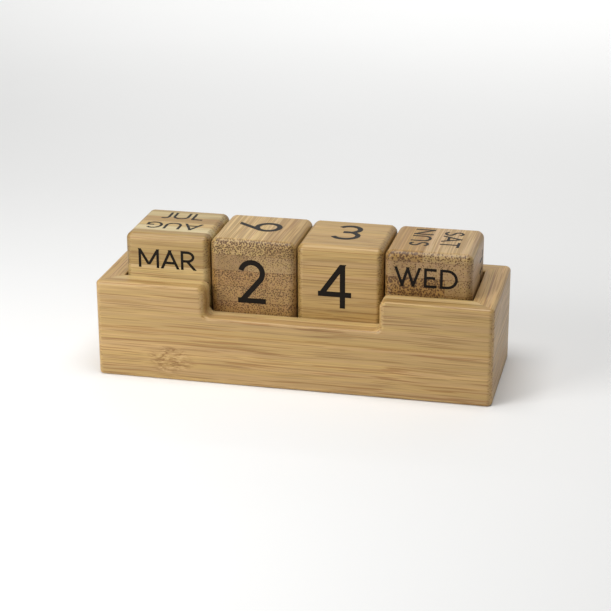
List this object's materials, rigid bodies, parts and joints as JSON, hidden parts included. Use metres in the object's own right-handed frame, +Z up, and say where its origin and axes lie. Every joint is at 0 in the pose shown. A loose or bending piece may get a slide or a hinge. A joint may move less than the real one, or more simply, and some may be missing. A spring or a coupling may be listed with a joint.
{
  "type": "perpetual desk calendar",
  "caption": "Wooden block calendar: a low mitred tray with a notched front holds loose cubes for month, day and weekday in one row.",
  "frame": {"origin": "centre of the tray's underside, on the surface that it stands on", "axes": "+X along the row of cubes to the reader's right, +Y away from the reader, +Z up"},
  "size_m": [0.162, 0.055, 0.0585],
  "materials": {
    "tray_bamboo": "laminated bamboo, planed and satin lacquered",
    "core_bamboo": "laminated bamboo, planed, unlacquered",
    "cube_bamboo": "laminated bamboo, sanded and satin lacquered, black printed figures"
  },
  "bodies": {
    "tray": {"front_board": "tray_bamboo", "back_board": "tray_bamboo", "left_end_board": "tray_bamboo", "right_end_board": "tray_bamboo", "base_block": "core_bamboo"},
    "month": {"month_cube": "cube_bamboo"},
    "day_a": {"day_cube_a": "cube_bamboo"},
    "day_b": {"day_cube_b": "cube_bamboo"},
    "weekday": {"weekday_cube": "cube_bamboo"}
  },
  "joints": [
    {"name": "month_lift", "type": "slide", "parent": "tray", "child": "month", "axis": [0, 0, 1], "range_m": [0, 0.045]},
    {"name": "day_a_lift", "type": "slide", "parent": "tray", "child": "day_a", "axis": [0, 0, 1], "range_m": [0, 0.045]},
    {"name": "day_b_lift", "type": "slide", "parent": "tray", "child": "day_b", "axis": [0, 0, 1], "range_m": [0, 0.045]},
    {"name": "weekday_lift", "type": "slide", "parent": "tray", "child": "weekday", "axis": [0, 0, 1], "range_m": [0, 0.045]}
  ]
}
